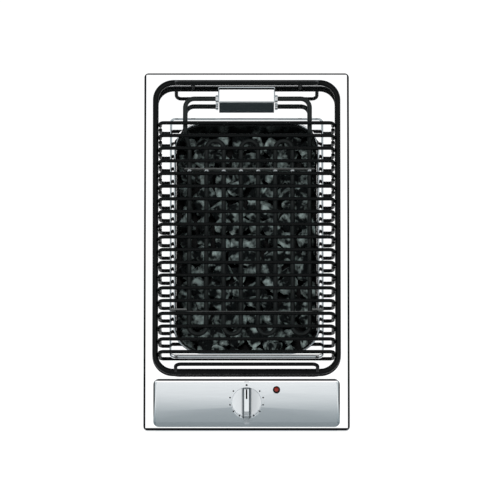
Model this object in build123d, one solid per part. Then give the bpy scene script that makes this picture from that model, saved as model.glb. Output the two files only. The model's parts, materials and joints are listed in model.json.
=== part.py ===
"""Built-in barbecue hob: a grid over an electric element and a tray of lava stones.

The origin is on the bench, under the middle of the casing. X runs across the hob, Y runs from
the control panel at the front to the hinge box at the rear, and Z is up. Sizes are millimetres.
"""

from build123d import *
import math
import os
import random

os.makedirs("parts", exist_ok=True)

# Clearances
seat_gap = 0.3
running_gap = 0.05
slip_gap = 0.15

# Hob plate, one pressed sheet whose rolled edge stands on the worktop
plate_width = 285.0
plate_length = 520.0
plate_corner = 6.0
plate_sheet = 1.2
plate_edge_height = 6.0
plate_edge_roll = 2.2

# Dished control panel pressed into the front of the plate, a steep wall over a shallow one
panel_side_margin = 13.7
panel_front_margin = 4.2
panel_length = 69.4
panel_rear_depth = 3.4
panel_front_depth = 1.5
panel_corner = 8.0
panel_steep_depth = 1.9
panel_steep_inset = 0.6
panel_shallow_inset = 3.0

# Basin with its raised rim, let into the plate
basin_side_margin = 44.5
basin_rear_margin = 76.8
basin_panel_gap = 38.6
basin_sheet = 1.0
mouth_corner = 38.0
rim_border = 8.8
rim_rear_border = 10.1
rim_corner = 7.0
rim_height = 4.4
rim_round = 4.1
basin_depth = 62.0
basin_hole_gap = 0.5

# Tray of lava stones
tray_gap = 0.6
tray_sheet = 1.0
tray_rise = 0.5
stone_rows = 11
stone_columns = 7
stone_gap = 1.5
stone_height = 36.0
stone_side_count = 5

# Cooking grid: a ring, cross rods and two handle loops; its rear stands on two feet
ring_side_margin = 16.0
ring_rear_margin = 18.9
ring_panel_gap = 9.3
ring_radius = 4.0
ring_bend = 25.0
rod_radius = 2.5
rod_count = 19
rod_rise = 16.0
rod_bend = 5.5
first_rod_inset = 4.1
last_rod_outset = 4.05
loop_radius = 2.5
loop_inset = 28.5
loop_bend = 7.0
loop_rise = 25.5
front_loop_lean = 4.6
rear_loop_lean = 7.3
grid_slope = 1.2
foot_radius = 3.0
foot_inset = 52.0

# Heating element
sheath_radius = 3.25
run_count = 8
runs_left_gap = 18.35
runs_right_gap = 10.35
runs_rear_gap = 32.4
runs_front_gap = 40.8
element_drop = 8.0
lead_bend = 12.5
lead_ramp_bend = 14.0
left_lead_gap = 12.6
lead_rim_rise = 7.7
lead_ramp_start = 13.0
lead_ramp_run = 20.0
pin_radius = 1.6
pin_length = 6.0

# Support strips and the clips that hold the sheath on them
strip_thickness = 2.0
strip_height = 9.8
strip_rear_inset = 30.2
strip_front_inset = 18.9
strip_toe = 8.0
strip_toe_height = 4.0
strip_end_gap = 4.0
clip_wall = 1.0
clip_length = 2.5

# Hinge box at the rear, with the element's pivot through its sides
box_width = 79.4
box_length = 23.2
box_height = 24.0
box_rear_margin = 28.1
box_sheet = 1.0
box_round = 2.2
pivot_front_inset = 7.5
pivot_rise = 17.0
bushing_radius = 5.2
bushing_neck_radius = 4.5
bushing_length = 3.4
base_thickness = 2.5
base_gap = 0.3
connector_width = 30.0
connector_length = 14.0
connector_height = 14.0
grommet_radius = 6.0
grommet_bore = 3.5
grommet_lip = 1.5
box_screw_radius = 2.0
box_screw_length = 5.0
box_screw_x = 28.0

# Knob, its shaft and the regulator
knob_inset = 33.9
knob_radius = 20.5
knob_skirt_height = 6.0
knob_top_height = 24.4
knob_base_gap = 1.4
knob_cavity_radius = 17.0
knob_cavity_height = 4.0
knob_boss_radius = 5.5
knob_boss_height = 1.3
grip_top_width = 6.4
grip_neck_width = 7.4
grip_foot_width = 13.0
grip_foot_height = 3.2
grip_rear_reach = 12.0
shaft_radius = 3.0
shaft_flat = 0.9
shaft_grip = 9.0
shaft_seat = 8.0
spring_thickness = 0.5
bush_radius = 5.0
nut_width = 14.0
nut_height = 2.4
regulator_width = 44.0
regulator_length = 38.0
regulator_height = 34.0

# Pilot lamp
lamp_x = 41.3
lamp_inset = 14.8
lamp_lens_radius = 3.0
lamp_bezel_radius = 5.0
lamp_bezel_height = 1.8
lamp_neck_radius = 4.4
lamp_dome = 1.1
lamp_body_length = 24.0

# Flat connector tabs of the regulator and of the lamp
tab_length = 8.0
tab_thickness = 0.8
tab_width = 6.3
lamp_tab_width = 4.8

# Casing below the worktop
casing_side_margin = 11.5
casing_end_margin = 15.0
casing_depth = 90.0
casing_sheet = 0.8
casing_corner = 4.0
casing_flange = 9.0
casing_slope_height = 50.0
casing_slope_run = 16.0
slot_count = 9
slot_pitch = 12.0
slot_width = 3.5
slot_height = 22.0
slot_z = 30.0
stud_radius = 2.0
stud_length = 7.0
stud_nut_width = 7.0
stud_nut_height = 3.2
seal_width = 4.4

# Pieces under the basin and at the rear of the casing
pad_height = 20.0
pad_margin = 4.0
shield_sheet = 1.0
shield_margin = 6.0
cutout_width = 34.0
cutout_length = 14.0
cutout_height = 26.0
terminal_inset = 53.0
terminal_width = 48.0
terminal_length = 22.0
terminal_height = 24.0
terminal_hole_radius = 2.5
gland_bore = 5.0
gland_neck_radius = 8.5
gland_flange_radius = 11.0
gland_reach = 10.0

# Worktop clamps
worktop_thickness = 30.0
clamp_inset = 95.0
clamp_width = 26.0
clamp_sheet = 1.6
clamp_leg_height = 30.0
clamp_foot_length = 9.0
clamp_screw_radius = 2.0
clamp_screw_head = 3.6
clamp_screw_head_height = 2.0

# Levels worked out from the sizes above
worktop_z = casing_depth
plate_top = worktop_z + plate_edge_height
plate_under = plate_top - plate_sheet
rim_top = plate_top + rim_height
basin_floor = plate_top - basin_depth
element_z = plate_top - element_drop
pivot_z = plate_top + pivot_rise
ring_z = plate_top + seat_gap + ring_radius
rod_z = plate_top + rod_rise
loop_z = plate_top + loop_rise
lamp_neck_z = plate_under - panel_rear_depth - plate_sheet
terminal_z = casing_sheet + terminal_height / 2
clamp_foot_z = worktop_z - worktop_thickness - clamp_foot_length

# Places along the hob, worked out from the plate's two ends
panel_front = -plate_length / 2 + panel_front_margin
panel_rear = panel_front + panel_length
panel_center_y = (panel_front + panel_rear) / 2
knob_center_y = panel_rear - knob_inset
lamp_y = panel_rear - lamp_inset
basin_front = panel_rear + basin_panel_gap
basin_rear = plate_length / 2 - basin_rear_margin
basin_center_y = (basin_front + basin_rear) / 2
mouth_length = basin_rear - basin_front
ring_front = panel_rear + ring_panel_gap
ring_rear = plate_length / 2 - ring_rear_margin
first_rod_y = basin_rear - first_rod_inset
last_rod_y = basin_front - last_rod_outset
rod_pitch = (first_rod_y - last_rod_y) / (rod_count - 1)
runs_rear_y = basin_rear - runs_rear_gap
runs_front_y = basin_front + runs_front_gap
strip_rear_y = runs_rear_y - strip_rear_inset
strip_front_y = runs_front_y + strip_front_inset
box_center_y = plate_length / 2 - box_rear_margin - box_length / 2
pivot_y = box_center_y - box_length / 2 + pivot_front_inset
casing_length = plate_length - 2 * casing_end_margin
clamp_y = casing_length / 2 - clamp_inset

# Places across the hob, worked out from the plate's width
panel_width = plate_width - 2 * panel_side_margin
mouth_width = plate_width - 2 * basin_side_margin
ring_width = plate_width - 2 * ring_side_margin
rod_leg_x = ring_width / 2 - ring_radius - rod_radius
loop_width = ring_width - 2 * loop_inset
first_run_x = -mouth_width / 2 + runs_left_gap
last_run_x = mouth_width / 2 - runs_right_gap
run_pitch = (last_run_x - first_run_x) / (run_count - 1)
run_xs = [first_run_x + i * run_pitch for i in range(run_count)]
left_lead_x = -mouth_width / 2 + left_lead_gap
lead_end_x = connector_width / 2 + pin_length + 4 * basin_sheet
casing_width = plate_width - 2 * casing_side_margin
terminal_x = casing_width / 2 - terminal_inset

BOTTOM = (Align.CENTER, Align.CENTER, Align.MIN)


def panel_z(y):
    """Height of the dished panel at y."""
    share = (panel_rear - y) / panel_length
    return plate_top - panel_rear_depth + (panel_rear_depth - panel_front_depth) * share**2


def block(width, length, height, x, y, z):
    """A plain block that stands at height z over the point x, y."""
    return Pos(x, y, z) * Box(width, length, height, align=BOTTOM)


def slab(width, length, corner, height, x, y, z):
    """A block with round upright corners."""
    return Pos(x, y, z) * extrude(RectangleRounded(width, length, corner), height)


def post(radius, height, x, y, z):
    """An upright cylinder that stands at height z."""
    return Pos(x, y, z) * Cylinder(radius, height, align=BOTTOM)


def bar_x(radius, start, end, y, z):
    """A cylinder along X from start to end."""
    return Pos((start + end) / 2, y, z) * Rot(0, 90, 0) * Cylinder(radius, end - start)


def bar_y(radius, start, end, x, z):
    """A cylinder along Y from start to end."""
    return Pos(x, (start + end) / 2, z) * Rot(90, 0, 0) * Cylinder(radius, end - start)


def hex_nut(width, height, bore, x, y, z):
    """A hexagon nut, width across its flats."""
    side = RegularPolygon(width / 2, 6, major_radius=False)
    return Pos(x, y, z) * extrude(side - Circle(bore), height)


def wire(path, radius):
    """A round wire along a path of straight runs and arcs."""
    start = Plane(origin=path @ 0, z_dir=path % 0)
    return sweep(start * Circle(radius), path=path)


def round_top(shape, radius):
    """Rounds the edges of a shape's highest face."""
    return fillet(shape.faces().sort_by(Axis.Z)[-1].edges(), radius)


def save(name, *solids):
    """Writes one node, a single solid or a group of like ones."""
    shape = solids[0] if len(solids) == 1 else Compound(list(solids))
    export_step(shape, f"parts/{name}.step")


def panel_outline(growth, z):
    """The dished panel's outline seen from above, at height z."""
    width = panel_width + 2 * growth
    length = panel_length + 2 * growth
    return Pos(0, panel_center_y, z) * RectangleRounded(width, length, panel_corner + growth)


def dished_block(growth, drop, height):
    """The space over the dished panel, or the sheet's outside when it is grown and dropped."""
    rear = panel_rear + growth
    front = panel_front - growth
    low_rear = plate_top - panel_rear_depth - drop
    low_front = plate_top - panel_front_depth - drop
    low_middle = low_rear + (low_front - low_rear) / 4
    arc = ThreePointArc((rear, low_rear), ((rear + front) / 2, low_middle), (front, low_front))
    sides = Polyline((front, low_front), (front, height), (rear, height), (rear, low_rear))
    side_view = Plane.YZ * make_face([arc, sides])
    floor = extrude(side_view, panel_width / 2 + growth, both=True)
    steep_z = plate_top - panel_steep_depth - drop
    low_inset = panel_steep_inset + panel_shallow_inset
    walls = extrude(panel_outline(growth, plate_top), plate_sheet)
    walls += loft(
        [
            panel_outline(growth - low_inset, low_rear),
            panel_outline(growth - panel_steep_inset, steep_z),
            panel_outline(growth, plate_top),
        ],
        ruled=True,
    )
    return floor & walls


def make_hob_plate():
    plate = slab(plate_width, plate_length, plate_corner, plate_edge_height, 0, 0, worktop_z)
    plate = round_top(plate, plate_edge_roll)
    inside_width = plate_width - 2 * plate_sheet
    inside_length = plate_length - 2 * plate_sheet
    inside_height = plate_edge_height - plate_sheet
    inside_corner = plate_corner - plate_sheet
    inside = slab(inside_width, inside_length, inside_corner, inside_height, 0, 0, worktop_z)
    plate -= round_top(inside, plate_edge_roll - plate_sheet)
    plate += dished_block(plate_sheet, plate_sheet, plate_under + plate_sheet / 2)
    plate -= dished_block(0, 0, plate_top + plate_sheet)
    wall_growth = 2 * (basin_sheet + basin_hole_gap)
    corner = mouth_corner + wall_growth / 2
    hole_height = 3 * plate_sheet
    hole_z = plate_under - plate_sheet
    width = mouth_width + wall_growth
    length = mouth_length + wall_growth
    plate -= slab(width, length, corner, hole_height, 0, basin_center_y, hole_z)
    plate -= post(grommet_radius, hole_height, 0, box_center_y, hole_z)
    for x in (-box_screw_x, box_screw_x):
        plate -= post(box_screw_radius + slip_gap, hole_height, x, box_center_y, hole_z)
    deep = plate_sheet + 2 * panel_rear_depth
    plate -= post(bush_radius + slip_gap, 2 * deep, 0, knob_center_y, plate_top - deep)
    plate -= post(lamp_neck_radius + slip_gap, 2 * deep, lamp_x, lamp_y, plate_top - deep)
    return plate


def make_basin():
    """A deep box of sheet whose raised rim is folded down onto the hob plate."""
    rim_width = mouth_width + 2 * rim_border
    rim_length = mouth_length + rim_border + rim_rear_border
    rim_y = basin_center_y + (rim_rear_border - rim_border) / 2
    rim = slab(rim_width, rim_length, rim_corner, rim_height, 0, rim_y, plate_top)
    rim -= slab(mouth_width, mouth_length, mouth_corner, rim_height, 0, basin_center_y, plate_top)
    rim = round_top(rim, rim_round)
    under_height = rim_height - basin_sheet
    under = slab(
        rim_width - 2 * basin_sheet,
        rim_length - 2 * basin_sheet,
        rim_corner - basin_sheet,
        under_height,
        0,
        rim_y,
        plate_top,
    )
    wall_width = mouth_width + 2 * basin_sheet
    wall_length = mouth_length + 2 * basin_sheet
    wall_corner = mouth_corner + basin_sheet
    under -= slab(wall_width, wall_length, wall_corner, under_height, 0, basin_center_y, plate_top)
    rim -= round_top(under, rim_round - basin_sheet)
    outside_height = basin_depth + basin_sheet + rim_height - rim_round
    outside_z = basin_floor - basin_sheet
    wall = slab(
        wall_width, wall_length, wall_corner, outside_height, 0, basin_center_y, outside_z
    )
    wall -= slab(
        mouth_width, mouth_length, mouth_corner, outside_height, 0, basin_center_y, basin_floor
    )
    return rim + wall


def make_stone_tray():
    width = mouth_width - 2 * tray_gap
    length = mouth_length - 2 * tray_gap
    corner = mouth_corner - tray_gap
    height = basin_depth + tray_rise
    tray = slab(width, length, corner, height, 0, basin_center_y, basin_floor)
    tray -= slab(
        width - 2 * tray_sheet,
        length - 2 * tray_sheet,
        corner - tray_sheet,
        height,
        0,
        basin_center_y,
        basin_floor + tray_sheet,
    )
    return tray


def stone_cell(column, row):
    """Middle and reach of the stone in one cell of the tray."""
    half_width = mouth_width / 2 - tray_gap - tray_sheet
    half_length = mouth_length / 2 - tray_gap - tray_sheet
    cell_x = 2 * half_width / stone_columns
    cell_y = 2 * half_length / stone_rows
    x = (column + 0.5) * cell_x - half_width
    y = (row + 0.5) * cell_y - half_length
    reach_x = (cell_x - stone_gap) / 2
    reach_y = (cell_y - stone_gap) / 2
    if column in (0, stone_columns - 1) and row in (0, stone_rows - 1):
        # The largest round stone between the cell's inner sides and the tray's round corner
        corner = mouth_corner - tray_gap - tray_sheet
        inner_x = abs(x) - reach_x - (half_width - corner)
        inner_y = abs(y) - reach_y - (half_length - corner)
        limit = corner - stone_gap
        total = inner_x + inner_y + limit
        reach = math.sqrt(total**2 + limit**2 - inner_x**2 - inner_y**2) - total
        reach = min(reach, reach_x, reach_y)
        x = math.copysign(abs(x) - reach_x + reach, x)
        y = math.copysign(abs(y) - reach_y + reach, y)
        reach_x = reach_y = reach
    return x, y + basin_center_y, reach_x, reach_y


def make_stones():
    """One rough stone in each cell, a narrow foot and crown round a wide waist."""
    chance = random.Random(7)
    sides = stone_side_count
    foot_z = basin_floor + tray_sheet
    stones = []
    for column in range(stone_columns):
        for row in range(stone_rows):
            x, y, reach_x, reach_y = stone_cell(column, row)
            height = stone_height * chance.uniform(0.86, 1.0)
            points = []
            for level, share in ((0.0, 0.8), (0.5, 1.0), (1.0, 0.75)):
                for side in range(sides):
                    turn = 2 * math.pi * (side + level + chance.uniform(-0.3, 0.3)) / sides
                    bulge = share * chance.uniform(0.84, 1.0)
                    sink = chance.uniform(0.0, 0.2) * level
                    px = x + bulge * reach_x * math.cos(turn)
                    py = y + bulge * reach_y * math.sin(turn)
                    points.append((px, py, foot_z + (level - sink) * height))
            stones.append(ConvexPolyhedron(points))
    return stones


def on_slope(shape):
    """A piece of the level grid, turned up about the front of the ring so that fat runs forward."""
    return Pos(0, ring_front, ring_z) * Rot(grid_slope, 0, 0) * Pos(0, -ring_front, -ring_z) * shape


def make_grid_ring():
    outline = Wire(RectangleRounded(ring_width, ring_rear - ring_front, ring_bend).edges())
    path = Pos(0, (ring_front + ring_rear) / 2, ring_z) * outline
    return on_slope(wire(path, ring_radius))


def make_cross_rod(y):
    """A rod across the ring with both ends bent down to stand beside it."""
    foot_z = plate_top + seat_gap
    path = FilletPolyline(
        (-rod_leg_x, y, foot_z),
        (-rod_leg_x, y, rod_z),
        (rod_leg_x, y, rod_z),
        (rod_leg_x, y, foot_z),
        radius=rod_bend,
    )
    return on_slope(wire(path, rod_radius))


def make_handle_loop(ring_y, run_y):
    """A wide loop that stands on the ring and leans towards run_y."""
    ring_top = ring_z + ring_radius + running_gap
    tilt = math.atan2(abs(run_y - ring_y), loop_z - ring_top)
    foot_z = ring_top + loop_radius * math.sin(tilt)
    foot_x = loop_width / 2
    path = FilletPolyline(
        (-foot_x, ring_y, foot_z),
        (-foot_x, run_y, loop_z),
        (foot_x, run_y, loop_z),
        (foot_x, ring_y, foot_z),
        radius=loop_bend,
    )
    return on_slope(wire(path, loop_radius))


def make_grid_feet():
    """Two short posts from the hob plate up into the underside of the ring's rear run."""
    rise = (ring_rear - ring_front) * math.sin(math.radians(grid_slope))
    bottom = plate_top + seat_gap
    feet = []
    for x in (foot_inset - ring_width / 2, ring_width / 2 - foot_inset):
        foot = post(foot_radius, ring_z + rise - bottom, x, ring_rear, bottom)
        foot = fillet(foot.edges().sort_by(Axis.Z)[0], foot_radius / 3)
        path = Line((x - foot_inset, ring_rear, ring_z), (x + foot_inset, ring_rear, ring_z))
        feet.append(foot - on_slope(wire(path, ring_radius)))
    return feet


def make_element():
    """The sheath: in along the pivot, down over the basin's rim, then to and fro across it."""
    ramp_y = basin_rear - lead_ramp_start
    ramp_z = plate_top + lead_rim_rise
    foot_y = ramp_y - lead_ramp_run
    left = FilletPolyline(
        (-lead_end_x, pivot_y, pivot_z),
        (left_lead_x, pivot_y, pivot_z),
        (left_lead_x, ramp_y, ramp_z),
        (first_run_x, foot_y, element_z),
        (first_run_x, runs_front_y, element_z),
        radius=[lead_bend, lead_ramp_bend, lead_ramp_bend],
    )
    right = FilletPolyline(
        (last_run_x, runs_front_y, element_z),
        (last_run_x, foot_y, element_z),
        (last_run_x, ramp_y, ramp_z),
        (last_run_x, pivot_y, pivot_z),
        (lead_end_x, pivot_y, pivot_z),
        radius=[lead_ramp_bend, lead_ramp_bend, lead_bend],
    )
    edges = list(left.edges())
    for i in range(run_count - 1):
        end_y = runs_front_y if i % 2 == 0 else runs_rear_y
        swing = -run_pitch / 2 if i % 2 == 0 else run_pitch / 2
        middle = (run_xs[i] + run_pitch / 2, end_y + swing, element_z)
        here, there = (run_xs[i], end_y, element_z), (run_xs[i + 1], end_y, element_z)
        edges.append(ThreePointArc(here, middle, there))
        if i < run_count - 2:
            far_y = runs_rear_y if i % 2 == 0 else runs_front_y
            edges.append(Line(there, (run_xs[i + 1], far_y, element_z)))
    edges += list(right.edges())
    return wire(Wire(edges), sheath_radius)


def make_strip(y, toes):
    """A strip on edge with a hole for each run; the toes of the front one rest on the rim."""
    low = element_z - strip_height / 2
    high = element_z + strip_height / 2
    left = first_run_x - strip_end_gap - sheath_radius
    right = last_run_x + strip_end_gap + sheath_radius
    strip = block(right - left, strip_thickness, strip_height, (left + right) / 2, y, low)
    if toes:
        toe_z = rim_top + seat_gap
        reach = mouth_width / 2 + strip_toe
        inner = mouth_width / 2 - tray_gap - tray_sheet - seat_gap
        for side, start in ((-1, left), (1, right)):
            width = inner - abs(start) + strip_toe_height
            middle = side * (inner - width / 2)
            strip += block(width, strip_thickness, toe_z + strip_toe_height - low, middle, y, low)
            toe = reach - inner + width
            middle = side * (reach - toe / 2)
            strip += block(toe, strip_thickness, strip_toe_height, middle, y, toe_z)
    hole = sheath_radius + slip_gap
    for x in run_xs:
        strip -= bar_y(hole, y - strip_thickness, y + strip_thickness, x, element_z)
    return strip


def make_clips(y):
    """A collar on each run that keeps the strip from sliding along it."""
    start = y - strip_thickness / 2 - clip_length
    end = y - strip_thickness / 2
    clips = []
    for x in run_xs:
        collar = bar_y(sheath_radius + clip_wall, start, end, x, element_z)
        clips.append(collar - bar_y(sheath_radius, start, end, x, element_z))
    return clips


def make_box_cover():
    cover = block(box_width, box_length, box_height, 0, box_center_y, plate_top)
    upright = cover.edges().filter_by(Axis.Z)
    cover = round_top(fillet(upright, box_round), box_round)
    inside_width = box_width - 2 * box_sheet
    inside_length = box_length - 2 * box_sheet
    inside_height = box_height - box_sheet
    inside = block(inside_width, inside_length, inside_height, 0, box_center_y, plate_top)
    upright = inside.edges().filter_by(Axis.Z)
    inside = round_top(fillet(upright, box_round - box_sheet), box_round - box_sheet)
    cover -= inside
    cover -= bar_x(bushing_neck_radius, -box_width, box_width, pivot_y, pivot_z)
    return cover


def make_bushing(side):
    """A flanged bushing in one side of the box; the lead turns in it."""
    wall = side * box_width / 2
    out = wall + side * bushing_length
    back = wall - side * box_sheet
    flange = bar_x(bushing_radius, min(wall, out), max(wall, out), pivot_y, pivot_z)
    neck = bar_x(bushing_neck_radius, min(wall, back), max(wall, back), pivot_y, pivot_z)
    bore = sheath_radius + running_gap
    return flange + neck - bar_x(bore, min(back, out), max(back, out), pivot_y, pivot_z)


def make_box_base():
    width = box_width - 2 * (box_sheet + base_gap)
    length = box_length - 2 * (box_sheet + base_gap)
    base = slab(width, length, box_round, base_thickness, 0, box_center_y, plate_top)
    base -= post(grommet_radius, base_thickness, 0, box_center_y, plate_top)
    for x in (-box_screw_x, box_screw_x):
        base -= post(box_screw_radius, base_thickness, x, box_center_y, plate_top)
    return base


def make_box_screws():
    screws = []
    for x in (-box_screw_x, box_screw_x):
        head_z = plate_under - stud_radius
        screw = post(2 * box_screw_radius, stud_radius, x, box_center_y, head_z)
        length = plate_sheet + box_screw_length
        screws.append(screw + post(box_screw_radius, length, x, box_center_y, plate_under))
    return screws


def make_grommet():
    """A silicone ring through the hob plate and the base, with a lip under the plate."""
    height = plate_sheet + base_thickness
    grommet = post(grommet_radius, height, 0, box_center_y, plate_under)
    lip_z = plate_under - grommet_lip
    grommet += post(grommet_radius + grommet_lip, grommet_lip, 0, box_center_y, lip_z)
    return grommet - post(grommet_bore, height + grommet_lip, 0, box_center_y, lip_z)


def make_connector():
    """A ceramic block on the base, hollowed underneath where the wires come up."""
    z = plate_top + base_thickness
    height = connector_height
    connector = block(connector_width, connector_length, height, 0, box_center_y, z)
    connector -= post(grommet_bore + grommet_lip, height / 2, 0, box_center_y, z)
    for x in (-connector_width / 4, connector_width / 4):
        connector -= post(grommet_lip, height / 3, x, box_center_y, z + 2 * height / 3)
    return connector


def make_pins():
    pins = []
    for side in (-1, 1):
        outer, inner = side * lead_end_x, side * (lead_end_x - pin_length)
        pins.append(bar_x(pin_radius, min(outer, inner), max(outer, inner), pivot_y, pivot_z))
    return pins


def shaft_solid(bottom, top):
    """The shaft's round bar with the flat that drives the knob."""
    shaft = post(shaft_radius, top - bottom, 0, knob_center_y, bottom)
    flat_y = knob_center_y + shaft_radius - shaft_flat / 2
    flat_z = plate_top - knob_base_gap + knob_cavity_height - knob_boss_height
    if top > flat_z:
        shaft -= block(2 * shaft_radius, shaft_flat, top - flat_z, 0, flat_y, flat_z)
    return shaft


knob_base = plate_top - knob_base_gap
shaft_top = knob_base + shaft_grip
regulator_top = panel_z(panel_rear) - plate_sheet - seat_gap
shaft_bottom = regulator_top - shaft_seat


def make_knob():
    """A round skirt with a ridge across it that falls steeply at the pointer end."""
    skirt = round_top(post(knob_radius, knob_skirt_height, 0, knob_center_y, knob_base), 1.0)
    foot = knob_base + knob_skirt_height
    top = knob_base + knob_top_height
    neck = foot + grip_foot_height
    reach = knob_radius - 0.4
    side_points = [
        (knob_center_y - reach, knob_base + knob_skirt_height / 2),
        (knob_center_y - reach, top),
        (knob_center_y + grip_rear_reach, top),
        (knob_center_y + reach, foot),
        (knob_center_y + reach, knob_base + knob_skirt_height / 2),
    ]
    side_view = Plane.YZ * make_face(Polyline(*side_points, close=True))
    length = extrude(side_view, knob_radius, both=True)
    low = knob_base + knob_skirt_height / 2
    bend_x = grip_neck_width / 2 + (grip_foot_width - grip_neck_width) / 2 * 0.3
    bend_z = foot + grip_foot_height * 0.3
    left_flank = ThreePointArc(
        (-grip_foot_width / 2, foot), (-bend_x, bend_z), (-grip_neck_width / 2, neck)
    )
    right_flank = ThreePointArc(
        (grip_neck_width / 2, neck), (bend_x, bend_z), (grip_foot_width / 2, foot)
    )
    over_top = Polyline(
        (-grip_neck_width / 2, neck),
        (-grip_top_width / 2, top),
        (grip_top_width / 2, top),
        (grip_neck_width / 2, neck),
    )
    under = Polyline(
        (grip_foot_width / 2, foot),
        (grip_foot_width / 2, low),
        (-grip_foot_width / 2, low),
        (-grip_foot_width / 2, foot),
    )
    end_view = make_face([left_flank, over_top, right_flank, under])
    section = Plane(origin=(0, knob_center_y, 0), x_dir=(1, 0, 0), z_dir=(0, -1, 0)) * end_view
    ridge = extrude(section, knob_radius, both=True) & length
    ridge = ridge & post(reach, 2 * knob_top_height, 0, knob_center_y, knob_base)
    knob = skirt + ridge
    knob -= post(knob_cavity_radius, knob_cavity_height, 0, knob_center_y, knob_base)
    boss_z = knob_base + knob_cavity_height - knob_boss_height
    knob += post(knob_boss_radius, knob_boss_height, 0, knob_center_y, boss_z)
    knob -= make_knob_spring()
    return knob - shaft_solid(shaft_bottom, shaft_top)


def make_knob_spring():
    """A flat leaf between the shaft's flat and the knob."""
    bottom = knob_base + knob_cavity_height - knob_boss_height
    y = knob_center_y + shaft_radius - shaft_flat + spring_thickness / 2
    return block(shaft_radius, spring_thickness, shaft_top - bottom - running_gap, 0, y, bottom)


def make_regulator():
    """A plastic case hung from the panel by its threaded bush."""
    bottom = regulator_top - regulator_height
    case = block(
        regulator_width, regulator_length, regulator_height, 0, knob_center_y, bottom
    )
    case = fillet(case.edges().filter_by(Axis.Z), 2.0)
    bush_height = knob_base + nut_height - regulator_top
    case += post(bush_radius, bush_height, 0, knob_center_y, regulator_top)
    bore = shaft_radius + running_gap
    case -= post(bore, bush_height + shaft_seat, 0, knob_center_y, shaft_bottom)
    tab_y = knob_center_y + regulator_length / 4
    for x in (-regulator_width / 4, 0, regulator_width / 4):
        case += block(tab_width, tab_thickness, tab_length, x, tab_y, bottom - tab_length)
    return case


def make_lamp_bezel():
    base = panel_z(lamp_y - lamp_bezel_radius) + running_gap
    bezel = round_top(post(lamp_bezel_radius, lamp_bezel_height, lamp_x, lamp_y, base), 0.6)
    bezel += post(lamp_neck_radius, base - lamp_neck_z, lamp_x, lamp_y, lamp_neck_z)
    height = base + lamp_bezel_height - lamp_neck_z
    return bezel - post(lamp_lens_radius, height, lamp_x, lamp_y, lamp_neck_z)


def make_lamp_lens():
    """A red jewel with a low dome."""
    base = panel_z(lamp_y - lamp_bezel_radius) + running_gap
    top = base + lamp_bezel_height + lamp_dome
    dome_radius = (lamp_lens_radius**2 + lamp_dome**2) / (2 * lamp_dome)
    dome = Pos(lamp_x, lamp_y, top - dome_radius) * Sphere(dome_radius)
    return post(lamp_lens_radius, top - lamp_neck_z, lamp_x, lamp_y, lamp_neck_z) & dome


def make_lamp_body():
    bottom = lamp_neck_z - lamp_body_length
    body = post(lamp_neck_radius, lamp_body_length, lamp_x, lamp_y, bottom)
    for x in (lamp_x - lamp_neck_radius / 2, lamp_x + lamp_neck_radius / 2):
        body += block(tab_thickness, lamp_tab_width, tab_length, x, lamp_y, bottom - tab_length)
    return body


def make_seal():
    """A foam strip between the hob plate and the worktop, just inside the rolled edge."""
    width = plate_width - 2 * (plate_edge_roll + seat_gap)
    length = plate_length - 2 * (plate_edge_roll + seat_gap)
    height = plate_under - worktop_z
    seal = slab(width, length, plate_corner, height, 0, 0, worktop_z)
    inner_width = width - 2 * seal_width
    inner_length = length - 2 * seal_width
    seal -= slab(inner_width, inner_length, plate_corner, height, 0, 0, worktop_z)
    room = plate_sheet + seat_gap
    return seal - dished_block(room, room, plate_top)


def stud_places():
    """Three down each side, all behind the dished panel."""
    x = casing_width / 2 - casing_flange / 2 - casing_sheet
    front = panel_rear + 2 * casing_flange
    rear = casing_length / 2 - 2 * casing_flange
    return [(side * x, y) for side in (-1, 1) for y in (front, (front + rear) / 2, rear)]


def casing_block(inset, height):
    """The casing's outside, or its inside when it is set in; the front slopes back below."""
    width = casing_width - 2 * inset
    length = casing_length - 2 * inset
    solid = slab(width, length, casing_corner - inset, height, 0, 0, inset)
    front = -length / 2
    slope = Polyline(
        (front, casing_slope_height), (front, 0), (front + casing_slope_run, 0), close=True
    )
    return solid - extrude(Plane.YZ * make_face(slope), casing_width / 2, both=True)


def make_casing():
    """An open box with a flange turned inwards under the hob plate."""
    height = plate_under
    casing = casing_block(0, height)
    casing -= casing_block(casing_sheet, height - 2 * casing_sheet)
    casing -= slab(
        casing_width - 2 * (casing_sheet + casing_flange),
        casing_length - 2 * (casing_sheet + casing_flange),
        casing_corner,
        3 * casing_sheet,
        0,
        0,
        height - 2 * casing_sheet,
    )
    for i in range(slot_count):
        x = (i - (slot_count - 1) / 2) * slot_pitch
        casing -= block(slot_width, 4 * casing_sheet, slot_height, x, casing_length / 2, slot_z)
    for x, y in stud_places():
        casing -= post(stud_radius + slip_gap, 4 * casing_sheet, x, y, height - 3 * casing_sheet)
    casing -= bar_y(gland_neck_radius, 0, casing_length, terminal_x, terminal_z)
    room = plate_sheet + seat_gap
    return casing - dished_block(room, room, plate_top)


def make_studs():
    z = plate_under - stud_length
    return [post(stud_radius, stud_length, x, y, z) for x, y in stud_places()]


def make_nuts():
    z = plate_under - casing_sheet - stud_nut_height
    width, height = stud_nut_width, stud_nut_height
    return [hex_nut(width, height, stud_radius, x, y, z) for x, y in stud_places()]


def make_pad():
    """A mineral board under the basin, held up by the heat shield."""
    width = mouth_width - 2 * pad_margin
    length = mouth_length - 2 * pad_margin
    top = basin_floor - basin_sheet
    return slab(width, length, mouth_corner, pad_height, 0, basin_center_y, top - pad_height)


def make_shield():
    """A bent sheet that stands on the casing's floor and carries the pad."""
    top = basin_floor - basin_sheet - pad_height
    width = mouth_width + 2 * shield_margin
    height = top - casing_sheet
    shield = block(width, mouth_length, height, 0, basin_center_y, casing_sheet)
    inner = width - 2 * shield_sheet
    inner_height = height - shield_sheet
    return shield - block(inner, mouth_length, inner_height, 0, basin_center_y, casing_sheet)


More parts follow.
